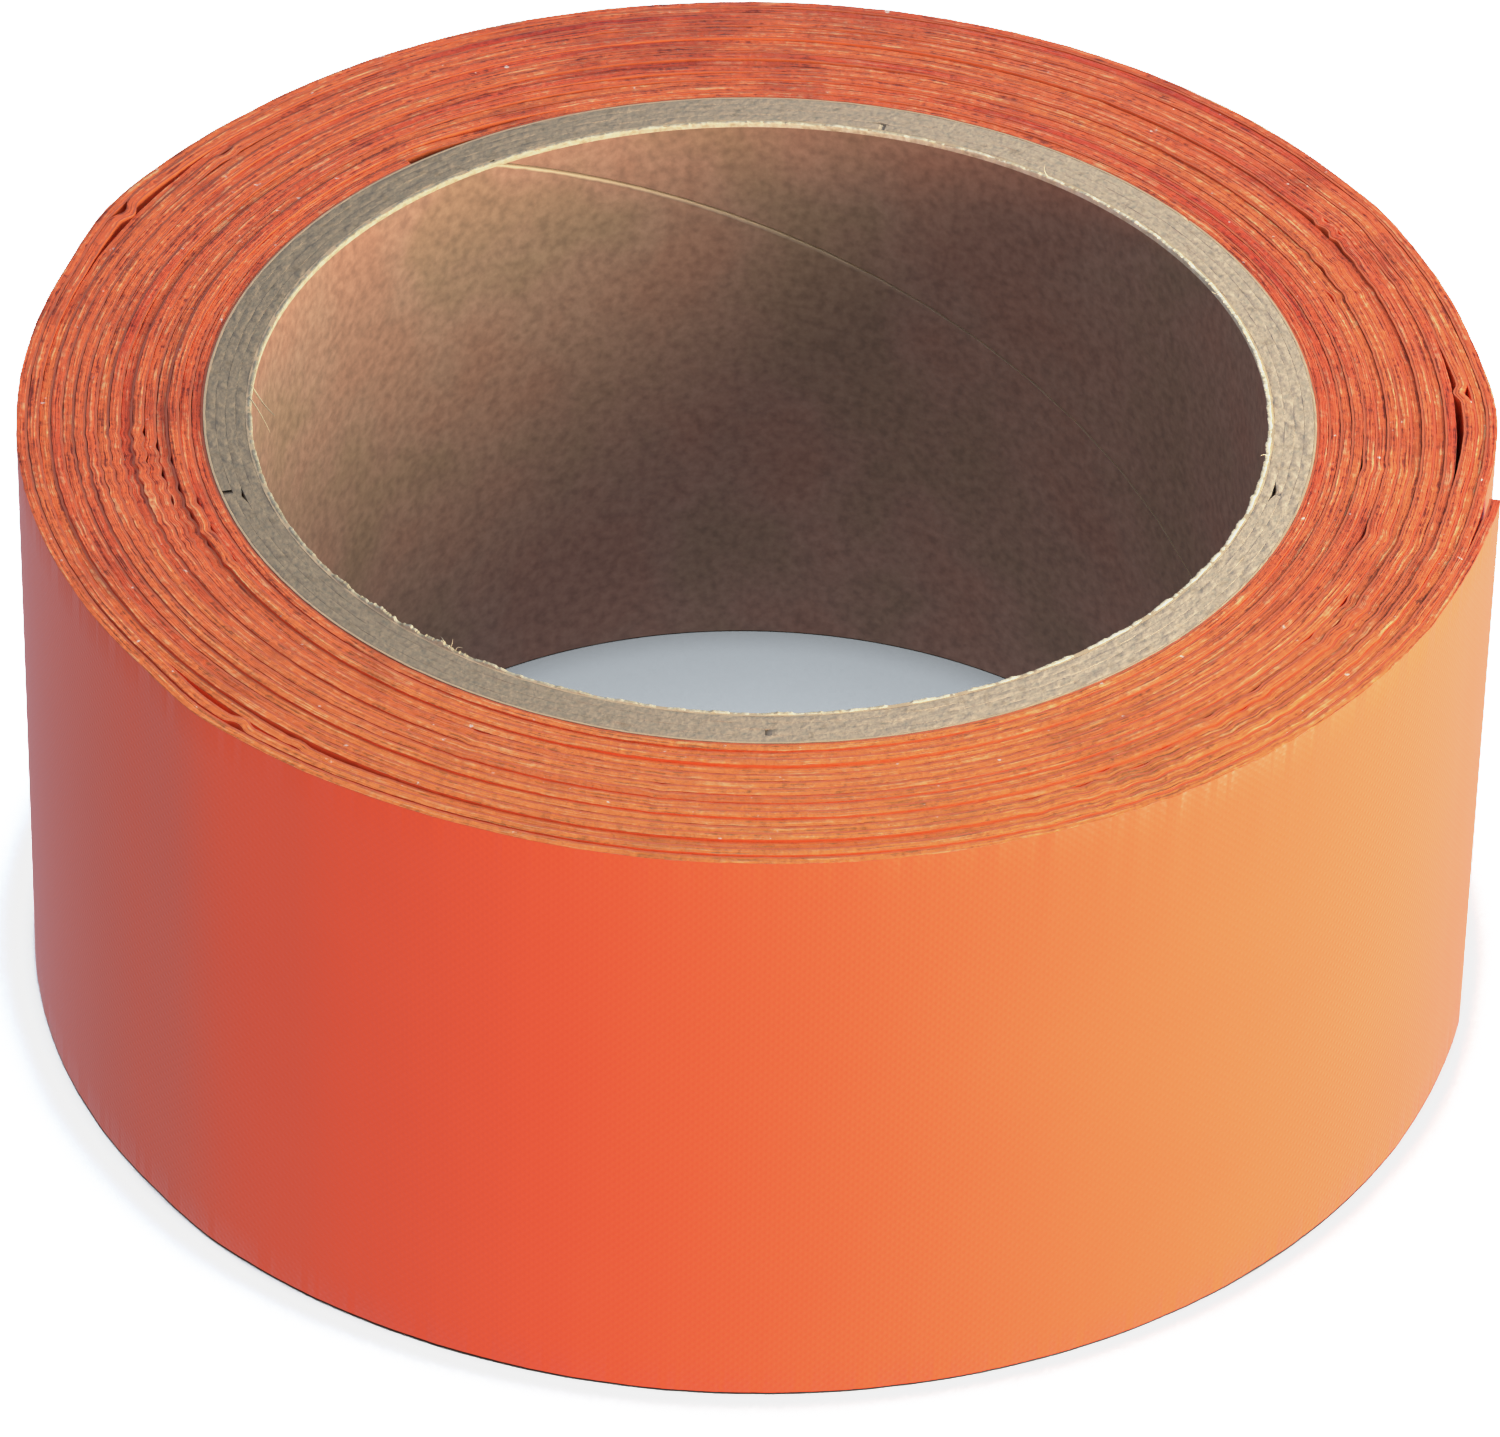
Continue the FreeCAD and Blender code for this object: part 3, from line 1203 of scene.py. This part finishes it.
@dataclass
class CorePly:
    """One strip of paper or board wound once round the core, its edges meeting in a helical seam.

    Attributes:
        name: The piece's name, which is also its CAD node's.
        inner: The inner radius.
        outer: The outer radius.
        width: The core's length.
        seam_angle: The angle of the seam at the bottom.
        finish: The material.
        slot: The record's material slot; not used.
        levels: How many points each side has between its corners.
        columns: The number of steps round the core.
        rim_play: How rough the cut rims are.
        rim_waves: The fewest and the most waves of that roughness in a turn.
        swell_waves: The same for the slower waves under it.
        swell_share: How high the slower waves are beside the others.
        slit_depth: How far down the slits reach.
        slits: Splits that open on the ply's inner side.
        seam_pitch: How far the seam climbs in a full turn.
        seam_gap: The gap between the edges that meet, along the turn.
        play: The gap to the plies on both sides.
        corner: The rounding of the corners.
    """

    name: str
    inner: float
    outer: float
    width: float
    seam_angle: float
    finish: Material
    slot: str
    levels: int = 24
    columns: int = 480
    rim_play: float = 0.03
    rim_waves: tuple[int, int] = (30, 900)
    swell_waves: tuple[int, int] = (2, 14)
    swell_share: float = 0.5
    slit_depth: float = 1.0
    slits: tuple[Slit, ...] = ()
    seam_pitch: float = 105.5
    seam_gap: float = 0.5
    play: float = 0.003
    corner: float = 0.012

    def build(self) -> Piece:
        """Carries the ply's section round the core along its seam's helix.

        The angle is the seam's angle at each height plus the share of the turn. The cut rims
        rise and fall with fine ripples, and the inner side gives way at each slit.

        Returns:
            The piece, riding on the roll.
        """
        seat = 2 * self.rim_play
        wall = self.outer - self.inner - 2 * self.play
        section = Section.rounded(wall, seat, self.width - seat, self.corner, self.levels)
        gap = math.degrees(self.seam_gap / self.inner)
        share = np.linspace(0, 1, self.columns + 1)[:, None]
        angle = self.seam_angle + section.height / self.seam_pitch * TURN + share * (TURN - gap)
        seed = int(self.outer * 100)
        swell = self.swell_share * ring_ripple(angle, *self.swell_waves, seed + 1)
        rough = ring_ripple(angle, *self.rim_waves, seed) + swell
        height = section.height + self.rim_play * rough * section.cut
        radius = self.inner + self.play + section.offset + self.opening(angle, section)
        run = share[:, 0] * math.radians(TURN) * self.inner * MM
        grid = around_axis(radius, angle, height)
        piece = carry(self.name + "_ply", grid, section, run, closed=False)
        give_finish(piece, self.finish)
        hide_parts(self.name)
        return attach(piece, "roll")

    def opening(self, angle: np.ndarray, section: Section) -> np.ndarray:
        """How far the top of the inner side moves out at each angle, summed over the slits."""
        inner_side = section.offset < (self.outer - self.inner) / 2
        near_top = section.height > self.width - self.slit_depth
        total = np.zeros_like(angle)
        for slit in self.slits:
            total += slit.width * arc_window(angle, slit.angle, slit.spread)
        return total * (inner_side & near_top)


@dataclass
class SpiralCore:
    """The paperboard core: a kraft liner, grey board plies and a kraft wrap, wound in spirals.

    Attributes:
        bore: The bore's radius.
        width: The core's length.
        kraft: The liner's material.
        board: The board plies' material.
        wrap: The outer wrap's material.
    """

    bore: float
    width: float
    kraft: Material
    board: Material
    wrap: Material

    def build(self) -> list[Piece]:
        """Makes every ply, each on the one inside it.

        Returns:
            The pieces.
        """
        board = self.board, "grey_board"
        wide_slits = Slit(345.6, 2.0, 0.34), Slit(76.9, 1.5, 0.24)
        plies = (
            ("core_inner_liner", 313.4, self.kraft, "kraft_liner", {"levels": 36, "columns": 720}),
            ("core_board_1", 266.4, *board, {}),
            ("core_board_2", 175.4, *board, {"slits": wide_slits}),
            ("core_board_3", 101.4, *board, {"slits": (Slit(198.5, 1.4, 0.26),)}),
            ("core_board_4", 27.4, *board, {}),
            ("core_outer_wrap", 228.4, self.wrap, "kraft_wrap", {}),
        )
        made = []
        inner = self.bore
        for name, seam_angle, finish, slot, extra in plies:
            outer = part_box(name)[1].x / MM
            ply = CorePly(name, inner, outer, self.width, seam_angle, finish, slot, **extra)
            made.append(ply.build())
            inner = outer
        return made


@dataclass
class TornLip:
    """The pale torn fibres that stand along the bore's cut edge.

    Attributes:
        bore: The bore's radius.
        width: The core's length.
        finish: The material.
        thickness: How thick the lip is.
        corner: The rounding of its corners.
        foot: How far below the core's top its foot is.
        low: How far below the core's top it stays where it is lowest.
        bite: How far it starts inside the bore.
        stand: How high it stands where it is strongest.
        weakest: The strength it has all round.
        ragged: The middle angle and the spread of each stretch where it is strong.
        tuft_waves: The fewest and the most waves of its tufts in a turn.
        tuft_level: The tufts' usual height as a share of the full height.
        tuft_play: How far that share wanders.
        tuft_range: The least and the greatest share.
        lean_waves: The fewest and the most waves of its lean in a turn.
        lean_play: How far its lean wanders.
        lean_share: How far it leans beside how high it stands.
        columns: The number of steps round the bore.
    """

    bore: float
    width: float
    finish: Material
    thickness: float = 0.3
    corner: float = 0.07
    foot: float = 0.5
    low: float = 0.08
    bite: float = 0.04
    stand: float = 0.32
    weakest: float = 0.32
    ragged: tuple[Range, ...] = ((10.0, 52.0), (229.0, 17.0))
    tuft_waves: tuple[int, int] = (45, 1000)
    tuft_level: float = 0.5
    tuft_play: float = 1.3
    tuft_range: Range = (0.12, 1.6)
    lean_waves: tuple[int, int] = (40, 700)
    lean_play: float = 0.05
    lean_share: float = 0.5
    columns: int = 2160

    def strength(self, angle: np.ndarray) -> np.ndarray:
        """How strong the lip is: a low value all round, and two ragged stretches."""
        strong = np.max([arc_window(angle, *stretch) for stretch in self.ragged], axis=0)
        return self.weakest + (1 - self.weakest) * strong

    def build(self) -> Piece:
        """Carries a small ragged section round the bore's top edge.

        Its top stands as high as the strength times a ripple that is kept between two limits,
        and leans into the bore by half as much.

        Returns:
            The piece, riding on the roll.
        """
        angle = np.linspace(0, TURN, self.columns, endpoint=False)
        tufts = self.tuft_level + self.tuft_play * ring_ripple(angle, *self.tuft_waves, Seed.LIP)
        tall = self.stand * self.strength(angle) * np.clip(tufts, *self.tuft_range)
        foot, low = self.width - self.foot, self.width - self.low
        section = Section.rounded(self.thickness, foot, low, self.corner, 0)
        top = section.height > (foot + low) / 2
        height = section.height + tall[:, None] * top
        wander = self.lean_play * ring_ripple(angle, *self.lean_waves, Seed.LIP_LEAN)
        lean = self.lean_share * tall + wander
        radius = self.bore - self.bite + section.offset - lean[:, None] * top
        run = np.radians(angle) * self.bore * MM
        grid = around_axis(radius, np.broadcast_to(angle[:, None], height.shape), height)
        piece = carry("core_torn_lip", grid, section, run, closed=True)
        give_finish(piece, self.finish)
        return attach(piece, "roll")


@dataclass(frozen=True)
class Fibre:
    """One loose fibre, a curved hair.

    Attributes:
        root: Its foot: a radius, an angle and a height.
        reach: How far its tip is from its foot: outwards, along the turn and up.
        bend: How far its middle is off the straight line, sideways.
        thickness: Its radius at the foot.
    """

    root: tuple[float, float, float]
    reach: tuple[float, float, float]
    bend: float = 0.2
    thickness: float = 0.045


@dataclass
class LooseFibres:
    """Hairs that stand off the cut core, made as one piece.

    Attributes:
        name: The piece's name.
        fibres: The fibres.
        finish: The material.
        steps: The number of points along a fibre.
        taper: How much of its radius a fibre has lost at its tip.
        skew: How far the direction it bends in is turned from the radius.
    """

    name: str
    fibres: tuple[Fibre, ...]
    finish: Material
    steps: int = 9
    taper: float = 0.75
    skew: float = 0.3

    def column(self, field: str) -> np.ndarray:
        """One number of every fibre, shaped to be spread over its path."""
        return np.array([getattr(fibre, field) for fibre in self.fibres])[:, None, None]

    def build(self) -> Piece:
        """Sweeps a shrinking circle along each fibre's parabola.

        The path is the foot plus the share times the reach, plus the bend times four times the
        share times one minus the share. The circle's radius falls to a quarter at the tip.

        Returns:
            The piece, riding on the roll.
        """
        roots = np.array([fibre.root for fibre in self.fibres])
        turn = np.radians(roots[:, 1])
        outward = np.stack([np.cos(turn), np.sin(turn), 0 * turn], axis=-1)
        along = np.stack([-np.sin(turn), np.cos(turn), 0 * turn], axis=-1)
        upward = np.broadcast_to([0.0, 0.0, 1.0], outward.shape)
        foot = outward * roots[:, :1] + upward * roots[:, 2:]
        reach = np.array([fibre.reach for fibre in self.fibres])
        straight = outward * reach[:, :1] + along * reach[:, 1:2] + upward * reach[:, 2:]
        direction = straight / np.linalg.norm(straight, axis=1, keepdims=True)
        side = np.cross(direction, outward + self.skew * along)
        side /= np.linalg.norm(side, axis=1, keepdims=True)
        other = np.cross(direction, side)

        share = np.linspace(0, 1, self.steps)[None, :, None]
        bowed = self.column("bend") * 4 * share * (1 - share)
        path = foot[:, None] + straight[:, None] * share + side[:, None] * bowed
        thin = self.column("thickness") * (1 - self.taper * share)
        spin = np.linspace(0, 2 * np.pi, FIBRE_SIDES, endpoint=False)[:, None]
        ring = np.cos(spin) * side[:, None, None] + np.sin(spin) * other[:, None, None]
        points = (path[:, :, None] + thin[:, :, None] * ring) * MM

        step = np.arange(self.steps - 1)[:, None] * FIBRE_SIDES
        place = np.arange(FIBRE_SIDES)
        beside = (place + 1) % FIBRE_SIDES
        corners = [place, beside, FIBRE_SIDES + beside, FIBRE_SIDES + place]
        sides = np.stack([step + corner for corner in corners], axis=-1).reshape(-1, 4)
        foot_cap = np.array(FIBRE_CAP)
        tip_cap = foot_cap[:, ::-1] + (self.steps - 1) * FIBRE_SIDES
        one = np.concatenate([sides, foot_cap, tip_cap])
        starts = np.arange(len(self.fibres))[:, None, None] * self.steps * FIBRE_SIDES
        faces = (one[None] + starts).reshape(-1, 4)
        piece = build_mesh(self.name, points.reshape(-1, 3), faces, 0)
        piece.data.materials.append(self.finish)
        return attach(piece, "roll")


@dataclass(frozen=True)
class Lamp:
    """A round area light aimed at the roll.

    Attributes:
        name: Its name.
        power: Its power, in watts.
        angle: Where it stands.
        height: How high it stands, in degrees above the floor.
        distance: How far it is from the point it is aimed at, in metres.
        size: How wide it is, in metres.
        colour: Its colour.
    """

    name: str
    power: float
    angle: float
    height: float
    distance: float
    size: float
    colour: Triple

    def build(self, target: Vector) -> Piece:
        """Puts the light in the scene.

        Args:
            target: The point it is aimed at.

        Returns:
            The light's object.
        """
        turn, rise = math.radians(self.angle), math.radians(self.height)
        flat = math.cos(rise)
        toward = Vector((math.cos(turn) * flat, math.sin(turn) * flat, math.sin(rise)))
        lamp = bpy.data.lights.new(self.name, "AREA")
        lamp.shape = "DISK"
        lamp.size = self.size
        lamp.energy = self.power
        lamp.color = self.colour
        light = bpy.data.objects.new(self.name, lamp)
        light.location = target + toward * self.distance
        light.rotation_euler = toward.to_track_quat("Z", "Y").to_euler()
        bpy.context.scene.collection.objects.link(light)
        return light


@dataclass
class Studio:
    """The floor, the lights and the camera. Its lengths are in metres.

    Attributes:
        focal: The lens's focal length, in millimetres.
        nearest: How near to the lens things are still shown.
        distance: How far the camera is from its target.
        elevation: How far the camera looks down.
        roll: How far the camera is turned about its own line of sight.
        target: What the camera and the lights look at.
        key: The soft light from the side.
        card: The weak warm light at the front.
        overhead: The light that only the floor takes.
        room_colour: The colour of the light from all round.
        room_strength: Its strength.
        floor_width: How wide the floor is.
        floor_drop: How far the floor is under the roll, in millimetres.
        shade_reach: How near a thing must be to shade the floor.
        shade_samples: How many directions the open sky is looked for in.
        shades: Shares of open sky over the floor and how pale the floor is painted under each:
            painted shade.
        brightest: The amount of light that is shown as full white.
        shoulder: Amounts of light and how bright each is shown.
    """

    focal: float = 234.68
    nearest: float = 0.01
    distance: float = 0.7575
    elevation: float = 37.196
    roll: float = -1.083
    target: Triple = (-0.000325, 0.0, 0.02023)
    key: Lamp = Lamp("key_light", 5.0, 341.0, 12.5, 0.38, 0.34, (0.9, 0.88, 0.7))
    card: Lamp = Lamp("warm_card", 4.3, 298.0, 3.0, 0.8, 0.16, (1.0, 0.3, 0.1))
    overhead: Lamp = Lamp("floor_light", 150.0, 270.0, 89.0, 1.4, 0.3, (0.92, 1.0, 1.06))
    room_colour: Colour = (0.86, 0.96, 1.2, 1.0)
    room_strength: float = 0.56
    floor_width: float = 3.0
    floor_drop: float = 0.04
    shade_reach: float = 0.1
    shade_samples: int = 24
    shades: tuple[Range, ...] = ((0.2, 0.042), (0.5, 0.11), (0.53, 0.24), (0.58, 0.87))
    brightest: float = 5.0
    shoulder: tuple[Range, ...] = (
        (0.3, 0.3), (0.6, 0.6), (0.8, 0.75), (1.0, 0.82), (1.6, 0.86), (3.4, 0.89), (4.3, 0.98)
    )

    def build_camera(self) -> None:
        """Puts the scene's camera back from the target along its line of sight."""
        tilt, roll = math.radians(self.elevation), math.radians(self.roll)
        back = Vector((0, -math.cos(tilt), math.sin(tilt)))
        flat_right = Vector((1, 0, 0))
        flat_up = Vector((0, math.sin(tilt), math.cos(tilt)))
        right = math.cos(roll) * flat_right - math.sin(roll) * flat_up
        up = math.sin(roll) * flat_right + math.cos(roll) * flat_up
        lens = bpy.data.cameras.new("camera")
        lens.lens = self.focal
        lens.clip_start = self.nearest
        camera = bpy.data.objects.new("camera", lens)
        turned = Matrix((right, up, back)).transposed().to_4x4()
        place = Vector(self.target) + back * self.distance
        camera.matrix_world = Matrix.Translation(place) @ turned
        bpy.context.scene.collection.objects.link(camera)
        bpy.context.scene.camera = camera

    def build_lights(self, floor: Piece) -> None:
        """Makes the room's even light and the three lamps.

        Args:
            floor: The floor, which alone takes the overhead light.
        """
        room = bpy.data.worlds.new("room")
        room.use_nodes = True
        background = room.node_tree.nodes["Background"]
        background.inputs["Color"].default_value = self.room_colour
        background.inputs["Strength"].default_value = self.room_strength
        bpy.context.scene.world = room

        target = Vector(self.target)
        *_, overhead = [lamp.build(target) for lamp in (self.key, self.card, self.overhead)]
        lit = bpy.data.collections.new("floor_only")
        lit.objects.link(floor)
        overhead.light_linking.receiver_collection = lit

    def build_floor(self) -> Piece:
        """Makes the pale floor just under the roll, which casts no light back on it; its contact
        shade is painted into its colour.
        """
        half = self.floor_width / 2
        low = CAD_BOX[0].z - self.floor_drop * MM
        corners = [(-half, -half, low), (half, -half, low), (half, half, low), (-half, half, low)]
        floor = build_mesh("floor", np.array(corners), np.array([[0, 1, 2, 3]]), 1)
        shader = Shader("floor_painted_shade")
        # Painted shade: the floor's colour darkens where little open sky reaches it, near the roll
        # and inside the bore.
        inputs = {"Distance": self.shade_reach}
        sky = shader.node("ShaderNodeAmbientOcclusion", inputs, samples=self.shade_samples)
        tones = ((share, (tone, tone, tone, 1.0)) for share, tone in self.shades)
        finish = {
            "Base Color": shader.ramp(sky.outputs["AO"], *tones),
            "Roughness": 0.9,
            "Specular IOR Level": 0.1,
        }
        floor.data.materials.append(shader.dress(finish))
        floor.visible_diffuse = False
        floor.visible_glossy = False
        return floor

    def build(self) -> None:
        """Sets up the studio and shows light as it is, with a soft shoulder at the top."""
        self.build_lights(self.build_floor())
        self.build_camera()
        shown = bpy.context.scene.view_settings
        shown.view_transform = "Standard"
        shown.use_curve_mapping = True
        response = shown.curve_mapping
        response.white_level = (self.brightest,) * 3
        curve = response.curves[COMBINED_CURVE]
        curve.points[0].location = (0.0, 0.0)
        curve.points[1].location = (1.0, 1.0)
        for light, display in self.shoulder:
            curve.points.new(light / self.brightest, display)
        response.update()


FIBRES = (
    Fibre((38.6, 234.5, 50.0), (-0.3, 0.1, 0.7), 0.1),
    Fibre((38.6, 233.6, 50.0), (-0.4, -0.5, 0.3), 0.2),
    Fibre((38.6, 235.4, 50.0), (-0.3, 0.4, 0.3), -0.2),
    Fibre((38.6, 55.0, 50.0), (-0.2, 0.1, 1.3), 0.2),
    Fibre((38.6, 178.0, 50.0), (-2.0, 2.6, -0.9), 0.3, 0.09),
    Fibre((38.6, 180.5, 50.0), (-1.6, 2.2, -1.6), -0.3, 0.07),
    Fibre((38.6, 24.0, 50.0), (-0.6, 0.4, 0.3), 0.1),
    Fibre((38.6, 352.0, 50.0), (-0.5, -0.5, 0.3), 0.1),
)


def hinge_angles() -> list[float]:
    """The angle of each peel hinge about the roll's axis, from the frame's joints."""
    angles = []
    for joint in frame["joints"]:
        if joint["name"].startswith("peel"):
            x, y, _ = joint["pos_m"]
            angles.append(math.degrees(math.atan2(y, x)) % TURN)
    return angles


def main() -> None:
    """Builds the core, the tape, its tail and the studio."""
    logging.basicConfig(level=logging.INFO, format="%(message)s")
    low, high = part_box("tape_backing")
    width = (high.z - low.z) / MM
    mounts = {mount["name"]: mount for mount in frame["record"]["mounts"]}
    bore = mounts["core_bore"]["dims"]["r_mm"]
    strip = TapeStrip(width=width, core_radius=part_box("core_outer_wrap")[1].x / MM)
    hinges = [strip.sweep_at(angle) for angle in hinge_angles()]
    film, glue = TapeFinish().material(), AdhesiveFinish().material()
    board, kraft = BoardFinish().material(), KraftFinish().material()
    torn = srgb(232, 216, 184), srgb(242, 230, 204), srgb(206, 186, 150)
    lip = BoardFinish("torn_fibre", *torn).material()

    tail = PeelTail(strip, film, glue, strip.sweep_at(CUT_END_ANGLE), hinges)
    sub_assemblies = (
        SpiralCore(bore, width, kraft, board, kraft),
        WoundTape(strip, film, glue, tail.end_sweep, tail.root_sweep),
        tail,
    )
    pieces = [piece for part in sub_assemblies for piece in part.build()]
    pieces.append(TornLip(bore, width, lip).build())
    pieces.append(LooseFibres("core_loose_fibres", FIBRES, lip).build())
    for piece in pieces:
        LOG.info("%s: %d faces", piece.name, len(piece.data.polygons))
    Studio().build()


if __name__ == "__main__":
    main()
